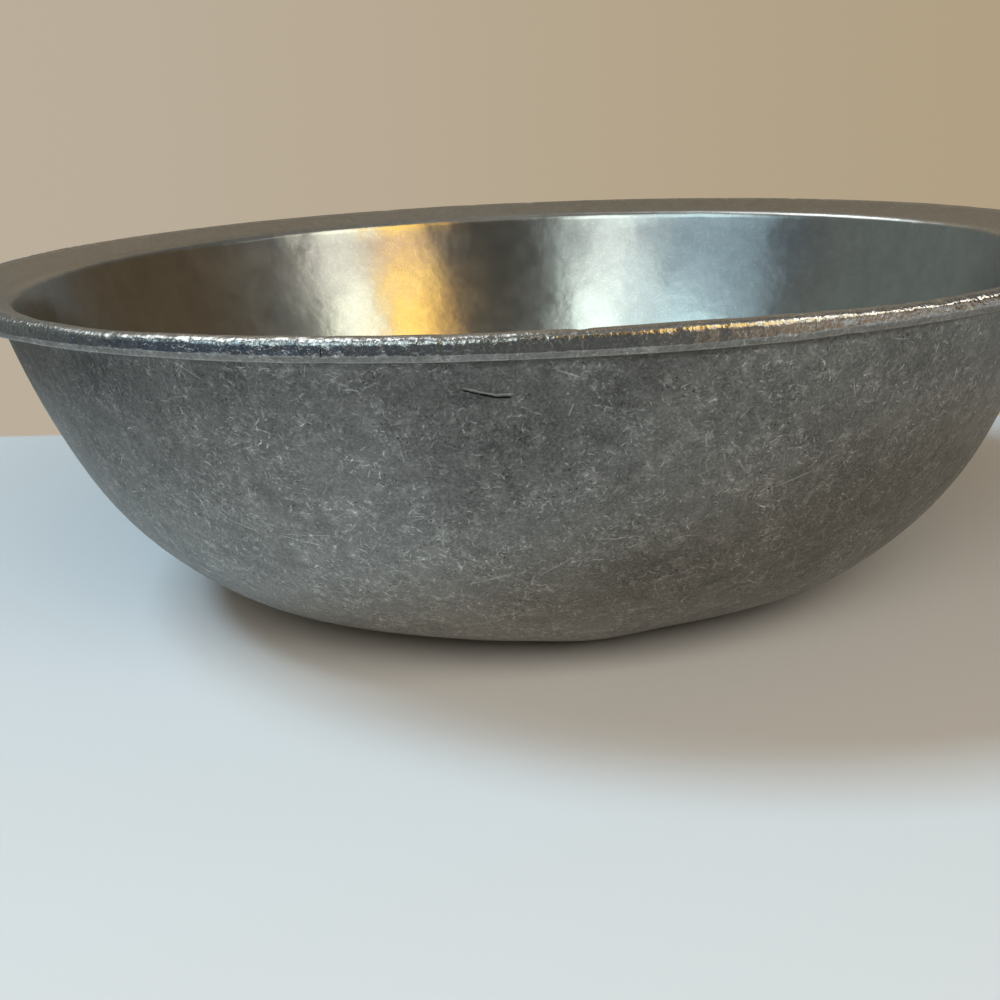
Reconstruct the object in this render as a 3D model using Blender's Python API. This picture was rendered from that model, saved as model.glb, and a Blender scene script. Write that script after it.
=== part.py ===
"""Round serving bowl, one aluminium alloy casting with a broad overhanging rim.

The casting is a turned form: one closed outline, drawn in the XZ plane, is spun
about the Z axis. From the edge of the floor the outline runs up the inside, over
the rim, back under the rim and down the outside to the flat foot.

Units are metres, +Z is up, and the origin is the middle of the foot, on the
surface that the bowl stands on.
"""
import math

import bmesh
import bpy

# Overall sizes
MOUTH_RADIUS = 0.1375
RIM_WIDTH = 0.0150
BOWL_HEIGHT = 0.0918

# Wall: the lean from upright at the mouth, then two arcs down to the foot
WALL_LEAN = math.radians(14.2)
BELLY_RADIUS = 0.1965
HEEL_RADIUS = 0.0800
WALL_THICKNESS = 0.0041
FLOOR_THICKNESS = 0.0045

# Lip, which flares from the mouth up to a ridge near the outer edge
MOUTH_DEPTH = 0.0043
MOUTH_ROUND = 0.0040
LIP_WIDTH = 0.0125
RIDGE_ROUND = 0.0034

# Rim, which stands out past the wall like a flange
RIM_FALL = 0.0010
EDGE_DEPTH = 0.0054
EDGE_ROUND = 0.0017
CHAMFER_HEIGHT = 0.0015
CHAMFER_WIDTH = 0.0009
CHAMFER_ROUND = 0.0007
UNDERSIDE_FALL = 0.0012
NECK_ROUND = 0.0040

# Facets
TURN_STEPS = 96
HEEL_STEPS = 7
BELLY_STEPS = 6
ROUND_STEPS = 3
SMOOTH_ANGLE = math.radians(40)
MERGE_DISTANCE = 1e-6

# Tumbled cast aluminium
METAL_COLOUR = (0.36, 0.35, 0.33, 1.0)
METAL_ROUGHNESS = 0.42


def clear_scene():
    """Remove whatever objects the open file holds."""
    for item in list(bpy.data.objects):
        bpy.data.objects.remove(item, do_unlink=True)


def cast_metal():
    """Grey tumbled aluminium alloy."""
    metal = bpy.data.materials.new("cast_aluminium")
    metal.use_nodes = True
    shader = metal.node_tree.nodes["Principled BSDF"]
    shader.inputs["Base Color"].default_value = METAL_COLOUR
    shader.inputs["Metallic"].default_value = 1.0
    shader.inputs["Roughness"].default_value = METAL_ROUGHNESS
    return metal


def arc(centre, radius, start, end, steps):
    """Points of a circular arc, both ends included."""
    points = []
    for step in range(steps + 1):
        angle = start + (end - start) * step / steps
        points.append((centre[0] + radius * math.cos(angle), centre[1] + radius * math.sin(angle)))
    return points


def wall_curve(mouth, floor_height, belly_radius, heel_radius, top_height):
    """One side of the wall, from the edge of its flat up to top_height.

    The belly arc passes through the mouth point at WALL_LEAN. The heel arc starts
    level at floor_height and runs smoothly into the belly arc, so the radius of
    the flat follows from the two arcs.
    """
    belly_centre = (
        mouth[0] - belly_radius * math.cos(WALL_LEAN),
        mouth[1] + belly_radius * math.sin(WALL_LEAN),
    )
    heel_height = floor_height + heel_radius
    drop = heel_height - belly_centre[1]
    between_centres = belly_radius - heel_radius
    flat_radius = belly_centre[0] + math.sqrt(between_centres ** 2 - drop ** 2)
    joint_angle = math.asin(drop / between_centres)
    top_angle = math.asin((top_height - belly_centre[1]) / belly_radius)

    heel = arc((flat_radius, heel_height), heel_radius, -math.pi / 2, joint_angle, HEEL_STEPS)
    belly = arc(belly_centre, belly_radius, joint_angle, top_angle, BELLY_STEPS)
    return heel + belly[1:]


def rounded_corner(before, corner, after, radius):
    """Arc that rounds a corner of the outline, limited by the sides beside it."""
    length_before = math.dist(corner, before)
    length_after = math.dist(corner, after)
    unit_before = ((before[0] - corner[0]) / length_before, (before[1] - corner[1]) / length_before)
    unit_after = ((after[0] - corner[0]) / length_after, (after[1] - corner[1]) / length_after)

    cosine = unit_before[0] * unit_after[0] + unit_before[1] * unit_after[1]
    half_angle = math.acos(cosine) / 2
    reach = min(radius / math.tan(half_angle), length_before / 2, length_after / 2)
    round_radius = reach * math.tan(half_angle)
    bisector = (unit_before[0] + unit_after[0], unit_before[1] + unit_after[1])
    to_centre = round_radius / math.sin(half_angle) / math.hypot(*bisector)
    centre = (corner[0] + bisector[0] * to_centre, corner[1] + bisector[1] * to_centre)

    first = (corner[0] + unit_before[0] * reach, corner[1] + unit_before[1] * reach)
    last = (corner[0] + unit_after[0] * reach, corner[1] + unit_after[1] * reach)
    start = math.atan2(first[1] - centre[1], first[0] - centre[0])
    end = math.atan2(last[1] - centre[1], last[0] - centre[0])
    turn = math.remainder(end - start, 2 * math.pi)
    return arc(centre, round_radius, start, start + turn, ROUND_STEPS)


def rim_corners(mouth, neck):
    """Corners of the rim and the radius of each, from the mouth round to the neck.

    The lip rises from the mouth to a ridge, the top falls from there to the outer
    edge, the edge ends in a small chamfer, and the underside slopes to the neck.
    """
    rim_radius = mouth[0] + RIM_WIDTH
    edge_bottom = BOWL_HEIGHT - EDGE_DEPTH
    return [
        (mouth, MOUTH_ROUND),
        ((mouth[0] + LIP_WIDTH, BOWL_HEIGHT), RIDGE_ROUND),
        ((rim_radius, BOWL_HEIGHT - RIM_FALL), EDGE_ROUND),
        ((rim_radius, edge_bottom + CHAMFER_HEIGHT), CHAMFER_ROUND),
        ((rim_radius - CHAMFER_WIDTH, edge_bottom), CHAMFER_ROUND),
        (neck, NECK_ROUND),
    ]


def bowl_outline():
    """The whole outline, from the edge of the inside floor round to the foot."""
    mouth = (MOUTH_RADIUS, BOWL_HEIGHT - MOUTH_DEPTH)
    outer_mouth = (
        mouth[0] + WALL_THICKNESS * math.cos(WALL_LEAN),
        mouth[1] - WALL_THICKNESS * math.sin(WALL_LEAN),
    )
    neck_height = BOWL_HEIGHT - EDGE_DEPTH - UNDERSIDE_FALL

    inside = wall_curve(
        mouth, FLOOR_THICKNESS, BELLY_RADIUS - WALL_THICKNESS, HEEL_RADIUS - WALL_THICKNESS, mouth[1]
    )
    outside = wall_curve(outer_mouth, 0.0, BELLY_RADIUS, HEEL_RADIUS, neck_height)
    outside.reverse()

    corners = rim_corners(mouth, outside[0])
    places = [inside[-2]] + [place for place, _ in corners] + [outside[1]]
    rim = []
    for index, (place, radius) in enumerate(corners):
        rim += rounded_corner(places[index], place, places[index + 2], radius)
    return inside[:-1] + rim + outside[1:]


def spin_outline(name, outline):
    """Spin an outline about Z and close the floor and the foot with flat faces."""
    form = bmesh.new()
    vertices = [form.verts.new((radius, 0.0, height)) for radius, height in outline]
    edges = [form.edges.new(pair) for pair in zip(vertices, vertices[1:])]
    bmesh.ops.spin(
        form,
        geom=vertices + edges,
        cent=(0.0, 0.0, 0.0),
        axis=(0.0, 0.0, 1.0),
        angle=2 * math.pi,
        steps=TURN_STEPS,
        use_merge=True,
    )
    bmesh.ops.remove_doubles(form, verts=form.verts, dist=MERGE_DISTANCE)
    open_edges = [edge for edge in form.edges if edge.is_boundary]
    bmesh.ops.holes_fill(form, edges=open_edges, sides=0)
    bmesh.ops.recalc_face_normals(form, faces=form.faces)

    mesh = bpy.data.meshes.new(name)
    form.to_mesh(mesh)
    form.free()
    mesh.shade_smooth()
    mesh.set_sharp_from_angle(angle=SMOOTH_ANGLE)
    return mesh


def make_bowl():
    """The bowl, which is all one piece."""
    mesh = spin_outline("bowl", bowl_outline())
    mesh.materials.append(cast_metal())
    bowl = bpy.data.objects.new("bowl", mesh)
    bpy.context.scene.collection.objects.link(bowl)


def main():
    clear_scene()
    make_bowl()


main()
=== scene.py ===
"""Looks of a round cast aluminium serving bowl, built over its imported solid.

The bowl is one casting, so the scene has one piece. Its skin is a turned outline
carried round the axis, with the soft unevenness of a sand casting, a rim dinged by
years of use and a few long marks. The metal is tumbled grey outside, burnished
inside and worn bright along the rim.

Units are metres, +Z is up, and the origin is the middle of the foot.
"""
import itertools
import math

import bpy
import numpy as np
from mathutils import Matrix, Vector


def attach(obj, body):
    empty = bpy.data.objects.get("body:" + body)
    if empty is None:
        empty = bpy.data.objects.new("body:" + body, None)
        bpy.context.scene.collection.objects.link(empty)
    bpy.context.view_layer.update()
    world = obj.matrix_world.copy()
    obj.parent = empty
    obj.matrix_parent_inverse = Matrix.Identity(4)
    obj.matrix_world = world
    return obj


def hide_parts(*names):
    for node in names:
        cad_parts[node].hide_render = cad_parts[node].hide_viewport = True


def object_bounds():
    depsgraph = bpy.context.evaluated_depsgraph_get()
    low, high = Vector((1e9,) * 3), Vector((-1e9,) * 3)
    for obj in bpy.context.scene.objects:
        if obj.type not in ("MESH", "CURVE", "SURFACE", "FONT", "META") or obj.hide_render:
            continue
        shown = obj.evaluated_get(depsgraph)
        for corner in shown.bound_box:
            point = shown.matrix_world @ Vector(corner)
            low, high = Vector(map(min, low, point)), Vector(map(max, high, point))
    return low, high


bl_info = {
    "name": "Cast Aluminium Serving Bowl",
    "version": (1, 0, 0),
    "blender": (4, 5, 0),
    "location": "View3D > Sidebar > Bowl",
    "description": "A round cast aluminium serving bowl with a tumbled, worn finish, and its studio",
    "category": "Add Mesh",
}

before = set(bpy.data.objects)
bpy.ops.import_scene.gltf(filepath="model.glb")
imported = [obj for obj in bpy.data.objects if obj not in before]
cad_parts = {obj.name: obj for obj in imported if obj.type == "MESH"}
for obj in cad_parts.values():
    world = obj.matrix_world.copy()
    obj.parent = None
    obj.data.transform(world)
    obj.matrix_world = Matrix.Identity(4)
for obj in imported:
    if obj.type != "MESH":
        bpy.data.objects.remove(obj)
CAD_LOW, CAD_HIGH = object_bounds()

BODY = "root"
CAD_NODE = "bowl"
MILLIMETRE = 0.001


def length_property(name, description, default):
    """A length in metres."""
    return bpy.props.FloatProperty(name=name, description=description, default=default, unit="LENGTH")


def colour_property(name, description, default):
    """A colour, as linear shares of red, green and blue."""
    return bpy.props.FloatVectorProperty(
        name=name, description=description, default=default, subtype="COLOR", min=0.0, max=1.0,
    )


def roughness_property(name, description, default):
    """A roughness, from 0 for a mirror to 1 for a dull surface."""
    return bpy.props.FloatProperty(
        name=name, description=description, default=default, subtype="FACTOR", min=0.0, max=1.0,
    )


class BowlSizes(bpy.types.PropertyGroup):
    """Driving sizes of the casting."""

    rim_radius: length_property("Rim radius", "From the axis to the outer edge of the rim", CAD_HIGH.x)
    height: length_property("Height", "From the foot to the crown of the rim", CAD_HIGH.z)
    rim_width: length_property("Rim width", "From the mouth to the outer edge of the rim", 0.0150)
    lip_width: length_property("Lip width", "From the mouth to the ridge of the rim", 0.0125)
    mouth_depth: length_property("Mouth depth", "Height of the ridge's corner above the mouth", 0.0043)
    edge_depth: length_property("Edge depth", "Thickness of the rim at its outer edge", 0.0054)
    wall_thickness: length_property("Wall thickness", "Thickness square to the wall's surface", 0.0041)
    floor_thickness: length_property("Floor thickness", "Thickness of the metal over the foot", 0.0045)
    belly_radius: length_property("Belly radius", "Radius of the outside curve of the upper wall", 0.1965)
    heel_radius: length_property("Heel radius", "Radius of the outside curve above the foot", 0.0800)
    wall_lean: bpy.props.FloatProperty(
        name="Wall lean", description="Lean of the wall from upright, at the mouth",
        default=math.radians(14.2), unit="ROTATION",
    )


class BowlWear(bpy.types.PropertyGroup):
    """How uneven and how dinged the casting is."""

    swell: length_property("Swell", "Height of the soft unevenness of the cast wall", 0.00022)
    rim_sag: length_property("Rim sag", "How far the rim's crown dips where it lies lowest", 0.00090)
    ding_depth: length_property("Ding depth", "Depth of the deepest dings", 0.00030)
    ding_count: bpy.props.IntProperty(
        name="Dings", description="Number of dings round the rim", default=620, min=0,
    )


class BowlFinish(bpy.types.PropertyGroup):
    """Colours and polish of the metal."""

    wall_colour: colour_property("Wall", "Tumbled metal of the outside", (0.256, 0.253, 0.238))
    inside_colour: colour_property("Inside", "Burnished metal of the inside", (0.52, 0.52, 0.50))
    lip_colour: colour_property("Lip", "Satin metal of the lip", (0.385, 0.366, 0.336))
    worn_colour: colour_property("Worn edge", "Worn metal of the crown and the edge", (0.50, 0.50, 0.49))
    wall_roughness: roughness_property("Wall roughness", "Roughness of the outside", 0.50)
    inside_roughness: roughness_property("Inside roughness", "Roughness of the inside", 0.20)
    lip_roughness: roughness_property("Lip roughness", "Roughness of the lip", 0.34)
    worn_roughness: roughness_property("Edge roughness", "Roughness of the crown and the edge", 0.20)


class BowlStudio(bpy.types.PropertyGroup):
    """Floor, backdrop and light."""

    floor_colour: colour_property("Floor", "Pale cloth that the bowl stands on", (0.80, 0.80, 0.79))
    floor_back: length_property("Floor back", "Where the floor ends behind the bowl's middle", 0.166)
    floor_front: length_property("Floor front", "Where the floor ends before the bowl's middle", 0.235)
    floor_left: length_property("Floor left", "Where the floor ends left of the bowl's middle", 0.240)
    backdrop_left: colour_property("Backdrop left", "Pale beige at the left", (0.497, 0.424, 0.328))
    backdrop_right: colour_property("Backdrop right", "Pale beige at the right", (0.437, 0.348, 0.226))
    fill_colour: colour_property("Fill", "Light on the floor from all round", (0.150, 0.112, 0.062))


# The rim's roundings, falls and chamfer. The rounded crown lies a little under the
# corner that it rounds.
CROWN_DROP = 0.00022
MOUTH_ROUND = 0.0040
RIDGE_ROUND = 0.0034
RIM_FALL = 0.0010
EDGE_ROUND = 0.0017
CHAMFER_HEIGHT = 0.0015
CHAMFER_WIDTH = 0.0009
CHAMFER_ROUND = 0.0007
UNDERSIDE_FALL = 0.0012
NECK_ROUND = 0.0040
# Steps of an arc before its points are spread anew.
ARC_STEPS = 24
# Rows of points on the floor and the foot, on each side of the wall, and between the
# rim's corners.
FLAT_ROWS = 6
WALL_ROWS = 30
ROWS_BETWEEN_CORNERS = (8, 1, 6, 2, 6)
# Which point of the wall, counted from the rim, the rim's first and last corners are
# rounded towards, and how far short of the rim the wall's own points stop.
WALL_BESIDE = 6
WALL_GAP = 0.0012


def arc(centre, radius, start, end):
    """Points of a circular arc: the centre plus the radius in each direction from start to end."""
    angles = np.linspace(start, end, ARC_STEPS + 1)
    return np.column_stack((centre[0] + radius * np.cos(angles), centre[1] + radius * np.sin(angles)))


def wall_curve(mouth, floor_height, belly_radius, heel_radius, lean):
    """One side of the wall, from the edge of its flat to the mouth.

    The belly arc passes through the mouth at the wall's lean. The heel arc starts
    level at floor_height and runs smoothly into the belly arc.
    """
    belly_centre = (
        mouth[0] - belly_radius * math.cos(lean),
        mouth[1] + belly_radius * math.sin(lean),
    )
    heel_height = floor_height + heel_radius
    drop = heel_height - belly_centre[1]
    between_centres = belly_radius - heel_radius
    flat_radius = belly_centre[0] + math.sqrt(between_centres ** 2 - drop ** 2)
    joint_angle = math.asin(drop / between_centres)
    top_angle = math.asin((mouth[1] - belly_centre[1]) / belly_radius)

    heel = arc((flat_radius, heel_height), heel_radius, -math.pi / 2, joint_angle)
    belly = arc(belly_centre, belly_radius, joint_angle, top_angle)
    return np.vstack((heel, belly[1:]))


def rounded_corner(before, corner, after, radius):
    """Arc that rounds a corner, touching both of its sides at the same distance from it."""
    corner = np.array(corner)
    to_before = np.array(before) - corner
    to_after = np.array(after) - corner
    length_before = np.linalg.norm(to_before)
    length_after = np.linalg.norm(to_after)
    to_before /= length_before
    to_after /= length_after

    half_angle = math.acos(to_before @ to_after) / 2
    reach = min(radius / math.tan(half_angle), length_before / 2, length_after / 2)
    bisector = (to_before + to_after) / np.linalg.norm(to_before + to_after)
    centre = corner + bisector * reach / math.cos(half_angle)
    first = corner + to_before * reach - centre
    last = corner + to_after * reach - centre
    start = math.atan2(first[1], first[0])
    turn = math.remainder(math.atan2(last[1], last[0]) - start, 2 * math.pi)
    return arc(centre, reach * math.tan(half_angle), start, start + turn)


def spread(points, rows):
    """The same line with its points moved to equal steps along its length."""
    steps = np.linalg.norm(np.diff(points, axis=0), axis=1)
    length = np.concatenate(([0.0], np.cumsum(steps)))
    wanted = np.linspace(0.0, length[-1], rows + 1)
    return np.column_stack([np.interp(wanted, length, points[:, axis]) for axis in (0, 1)])


def bowl_outline(sizes):
    """Parts of the outline, from the middle of the inside floor round to the middle of the foot.

    Each part is a name and its points as radius and height. Stretches that bend
    tightly or take dings have their points closer together.
    """
    mouth_radius = sizes.rim_radius - sizes.rim_width
    ridge_height = sizes.height + CROWN_DROP
    mouth = (mouth_radius, ridge_height - sizes.mouth_depth)
    edge_bottom = ridge_height - sizes.edge_depth
    neck_height = edge_bottom - UNDERSIDE_FALL
    lean = sizes.wall_lean
    outer_mouth = (
        mouth[0] + sizes.wall_thickness * math.cos(lean),
        mouth[1] - sizes.wall_thickness * math.sin(lean),
    )
    inside = wall_curve(
        mouth, sizes.floor_thickness, sizes.belly_radius - sizes.wall_thickness,
        sizes.heel_radius - sizes.wall_thickness, lean,
    )
    outside = wall_curve(outer_mouth, 0.0, sizes.belly_radius, sizes.heel_radius, lean)[::-1]
    outside = outside[outside[:, 1] < neck_height]
    heights = (outside[0, 1], outer_mouth[1])
    neck = (np.interp(neck_height, heights, (outside[0, 0], outer_mouth[0])), neck_height)
    outside = np.vstack(([neck], outside))

    # Each corner of the rim: its place, its rounding and its rows of points.
    corners = [
        (mouth, MOUTH_ROUND, 5),
        ((mouth_radius + sizes.lip_width, ridge_height), RIDGE_ROUND, 6),
        ((sizes.rim_radius, ridge_height - RIM_FALL), EDGE_ROUND, 6),
        ((sizes.rim_radius, edge_bottom + CHAMFER_HEIGHT), CHAMFER_ROUND, 2),
        ((sizes.rim_radius - CHAMFER_WIDTH, edge_bottom), CHAMFER_ROUND, 3),
        (neck, NECK_ROUND, 4),
    ]
    places = [inside[-WALL_BESIDE]] + [place for place, _, _ in corners] + [outside[WALL_BESIDE]]
    rim = []
    for index, (place, radius, rows) in enumerate(corners):
        bend = rounded_corner(places[index], place, places[index + 2], radius)
        if rim:
            straight = np.vstack((rim[-1][-1], bend[0]))
            rim.append(spread(straight, ROWS_BETWEEN_CORNERS[index - 1])[1:])
        rim.append(spread(bend, rows)[1 if rim else 0:])
    rim = np.vstack(rim)

    inside = np.vstack((inside[inside[:, 1] < rim[0, 1] - WALL_GAP], [rim[0]]))
    outside = np.vstack(([rim[-1]], outside[outside[:, 1] < rim[-1, 1] - WALL_GAP]))
    floor = np.array([(0.0, inside[0, 1]), inside[0]])
    foot = np.array([outside[-1], (0.0, outside[-1, 1])])
    return [
        ("floor", spread(floor, FLAT_ROWS)[:-1]),
        ("inside", spread(inside, WALL_ROWS)[:-1]),
        ("rim", rim),
        ("outside", spread(outside, WALL_ROWS)[1:]),
        ("foot", spread(foot, FLAT_ROWS)[1:]),
    ]


def eased(part):
    """A share from 0 to 1 with gentle ends: three times its square less twice its cube."""
    return part * part * (3.0 - 2.0 * part)


# Corners along each side of the noise's lattice, and how far it is moved off the axis.
LATTICE_SIDE = 32
LATTICE_SHIFT = 0.37


def soft_noise(points, size, seed):
    """Smooth random values from -1 to 1 that change over the given size.

    Each corner of a cubic lattice has a random number, and a point takes the
    smoothly weighted mean of the eight corners round it.
    """
    table = np.random.default_rng(seed).uniform(-1.0, 1.0, (LATTICE_SIDE,) * 3)
    cell = points / size + LATTICE_SHIFT
    low = np.floor(cell).astype(int)
    part = eased(cell - low)
    total = np.zeros(len(points))
    for corner in itertools.product((0, 1), repeat=3):
        weight = np.prod(np.where(np.array(corner) == 1, part, 1.0 - part), axis=1)
        index = (low + corner) % LATTICE_SIDE
        total += weight * table[index[:, 0], index[:, 1], index[:, 2]]
    return total


def smooth_step(value, low, high):
    """0 below low, 1 above high, and a smooth curve between them."""
    return eased(np.clip((value - low) / (high - low), 0.0, 1.0))


class Skin:
    """The bowl's surface as rows of points, each row a full turn about the axis.

    Rows on the rim have RIM_TURNS times as many points as the others. Lengths along
    the outline count from the crown of the rim, and are negative inside it.
    """

    COLUMNS = 450
    RIM_TURNS = 3

    def __init__(self, sizes):
        parts = bowl_outline(sizes)
        outline = np.vstack([points for _, points in parts])
        along = np.gradient(outline, axis=0)
        along /= np.linalg.norm(along, axis=1)[:, None]
        steps = np.linalg.norm(np.diff(outline, axis=0), axis=1)
        length = np.concatenate(([0.0], np.cumsum(steps)))
        names = np.concatenate([[name] * len(points) for name, points in parts])

        keep = outline[:, 0] > 0.0
        self.outline = outline[keep]
        self.outward = np.column_stack((-along[keep, 1], along[keep, 0]))
        self.part = names[keep]
        self.poles = outline[[0, -1]]
        rim = self.part == "rim"
        length = length[keep]
        self.length = length - length[rim][np.argmax(self.outline[rim, 1])]
        self.mouth = self.length[rim][0]

        self.columns = np.where(rim, self.COLUMNS * self.RIM_TURNS, self.COLUMNS)
        self.first = np.concatenate(([0], np.cumsum(self.columns)))
        row = np.repeat(np.arange(len(self.columns)), self.columns)
        column = np.arange(self.first[-1]) - self.first[row]
        self.row = row
        self.turn = column * 2.0 * math.pi / self.columns[row]

    def per_point(self, per_row):
        """A value of each row, repeated for each of its points."""
        return per_row[self.row]

    def points(self, lift, rise):
        """Points in space, lifted along the outward normal and raised along the axis."""
        flat = self.per_point(self.outline) + self.per_point(self.outward) * lift[:, None]
        return np.column_stack((
            flat[:, 0] * np.cos(self.turn),
            flat[:, 0] * np.sin(self.turn),
            flat[:, 1] + rise,
        ))

    def faces(self):
        """Faces between each row and the next, and a fan at each pole.

        Where a row has RIM_TURNS times the points of its neighbour, two triangles and
        a quad fill each step of the coarse row.
        """
        inner_pole = self.first[-1]
        outer_pole = inner_pole + 1
        ring = np.arange(self.columns[0])
        faces = np.column_stack((np.full_like(ring, inner_pole), ring, np.roll(ring, -1))).tolist()
        for row in range(len(self.columns) - 1):
            here = self.first[row] + np.arange(self.columns[row])
            there = self.first[row + 1] + np.arange(self.columns[row + 1])
            if len(here) == len(there):
                faces += np.column_stack((here, there, np.roll(there, -1), np.roll(here, -1))).tolist()
                continue
            widens = len(here) < len(there)
            coarse, many = (here, there) if widens else (there, here)
            after = np.roll(coarse, -1)
            fine = [np.roll(many, -step)[:: self.RIM_TURNS] for step in range(self.RIM_TURNS + 1)]
            middle = (coarse, fine[1], fine[2], after)
            for corners in ((coarse, fine[0], fine[1]), middle, (after, fine[2], fine[3])):
                faces += np.column_stack(corners[:: 1 if widens else -1]).tolist()
        last = self.first[-2] + np.arange(self.columns[-1])
        faces += np.column_stack((last, np.full_like(last, outer_pole), np.roll(last, -1))).tolist()
        return faces


def new_mesh(name, points, faces):
    """A mesh from the lists of its points and its faces."""
    mesh = bpy.data.meshes.new(name)
    mesh.from_pydata(points, [], faces)
    mesh.update()
    return mesh


DING_SEED = 11
# Battered stretches of the rim: where each is, in degrees from -Y towards +X, how wide
# it is in degrees, and its share of the dings.
BATTERED_STRETCHES = (
    (-15.0, 11.0, 0.14), (-50.0, 12.0, 0.08), (31.0, 8.0, 0.12),
    (150.0, 14.0, 0.08), (-105.0, 12.0, 0.08),
)
# Dings: the least radius and what chance adds to it, the least share of the full depth
# and what chance adds to it, the band that they lie in, as lengths along the outline
# from the crown, and how many full depths several dings in one place may reach. Radii
# and band are in millimetres.
DING_RADII = (0.9, 2.6)
DING_DEPTHS = (0.12, 0.88)
DING_BAND = (-2.0, 6.5)
DING_LIMIT = 1.3
LARGEST_DING = 0.0035


def around_rim(skin, values):
    """Sideways angle of every point in degrees from -Y, less each given place, from -180 to 180."""
    return np.remainder(np.degrees(skin.turn) + 90.0 - values + 180.0, 360.0) - 180.0


def battered(skin):
    """How battered the rim is at every point: 1 in the middle of a stretch, falling off as a bell."""
    amount = np.zeros(len(skin.turn))
    for middle, width, _ in BATTERED_STRETCHES:
        amount = np.maximum(amount, np.exp(-0.5 * (around_rim(skin, middle) / width) ** 2))
    return amount


def rim_dings(skin, wear):
    """Depth of the dings at every point.

    A ding is a round dish: its depth falls from the middle to its edge as the
    square of one less the squared distance. Chance is a random number's cube for the
    radius and its power of 2.5 for the depth, and a larger ding is deeper.
    """
    random = np.random.default_rng(DING_SEED)
    count = wear.ding_count
    turns = random.uniform(0.0, 2.0 * math.pi, count)
    taken = 0
    for middle, width, share in BATTERED_STRETCHES:
        some = int(share * count)
        turns[taken:taken + some] = np.radians(random.normal(middle - 90.0, width, some))
        taken += some
    radii = MILLIMETRE * (DING_RADII[0] + DING_RADII[1] * random.random(count) ** 3)
    depths = wear.ding_depth * (DING_DEPTHS[0] + DING_DEPTHS[1] * random.random(count) ** 2.5)
    depths *= np.sqrt(radii / LARGEST_DING)
    places = MILLIMETRE * random.uniform(*DING_BAND, count)

    band = np.flatnonzero(skin.per_point(skin.part == "rim"))
    length = skin.per_point(skin.length)[band]
    turn = skin.turn[band]
    sunk = np.zeros(len(skin.turn))
    for angle, place, radius, depth in zip(turns, places, radii, depths):
        sideways = np.remainder(turn - angle + math.pi, 2.0 * math.pi) - math.pi
        square = ((sideways * skin.outline[:, 0].max()) ** 2 + (length - place) ** 2) / radius ** 2
        sunk[band] += depth * np.clip(1.0 - square, 0.0, 1.0) ** 2
    return np.minimum(sunk, DING_LIMIT * wear.ding_depth)


# How far the rim dips round the bowl, in shares of its sag: degrees from -Y towards +X,
# the crown's share and the lower edge's share.
RIM_LINE = (
    (-120.0, 0.20, 0.20), (-90.0, 0.30, 0.25), (-55.0, 0.25, 0.20), (-42.0, 0.40, 0.20),
    (-34.0, 0.97, 0.25), (-26.0, 0.72, 0.28), (-14.0, 0.56, 0.42), (-5.0, 0.45, 0.40),
    (2.0, 0.25, 0.45), (11.0, 0.05, 0.52), (18.0, 0.32, 0.37), (24.0, 0.70, 0.14),
    (31.0, 0.98, 0.12), (50.0, 0.60, 0.30), (90.0, 0.20, 0.20), (180.0, 0.02, 0.02),
)
# Soft bulges and hollows of the outside: middle as degrees from -Y towards +X and
# height in millimetres, half width in degrees, half height and lift in millimetres.
BULGES = (
    (-43.0, 12.0, 9.0, 9.0, 0.42), (-18.0, 7.0, 9.0, 8.0, -0.30), (8.5, 6.0, 6.0, 7.0, 0.65),
    (22.0, 7.0, 5.0, 7.0, -0.25), (45.0, 13.0, 9.0, 9.0, 0.85), (62.0, 62.0, 14.0, 16.0, -0.90),
)
# A bulge falls to half its lift at its half sizes.
BULGE_FALL = 0.7


def rim_dip(skin, column):
    """Share of the sag at every point, led smoothly from each place of the rim's line to the next."""
    table = np.array(RIM_LINE)
    place = around_rim(skin, 0.0)
    after = np.searchsorted(table[:, 0], place) % len(table)
    before = after - 1
    span = np.remainder(table[after, 0] - table[before, 0], 360.0)
    part = eased(np.remainder(place - table[before, 0], 360.0) / span)
    return table[before, column] * (1.0 - part) + table[after, column] * part


def bulge_lift(skin, height):
    """Lift of the broad bulges and hollows: each is a bell over its two half sizes."""
    lift = np.zeros(len(skin.turn))
    for degrees, middle, half_width, half_height, amount in BULGES:
        sideways = around_rim(skin, degrees) / half_width
        upwards = (height / MILLIMETRE - middle) / half_height
        lift += amount * MILLIMETRE * np.exp(-BULGE_FALL * (sideways ** 2 + upwards ** 2))
    return lift


# Noises of the cast surface: the size over which each changes, its share of the swell and
# its seed; and the fine noise of the rim, as its size, its height and its seed.
SWELL_NOISES = ((0.045, 0.6, 3), (0.019, 0.4, 4))
RIM_NOISE = (0.006, 0.00006, 5)
# How far along the outline from the crown the rim's lower edge takes over from its crown.
LOWER_EDGE = (0.0018, 0.0045)
# Heights between which the swell starts above the foot, the bulges start above it, and
# the bulges end below the neck.
SWELL_START = (0.002, 0.014)
BULGE_START = (0.0002, 0.0050)
BULGE_END = (0.068, 0.080)
# Lengths past the mouth between which the burnished inside ends.
INSIDE_END = (0.0010, 0.0040)


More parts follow.
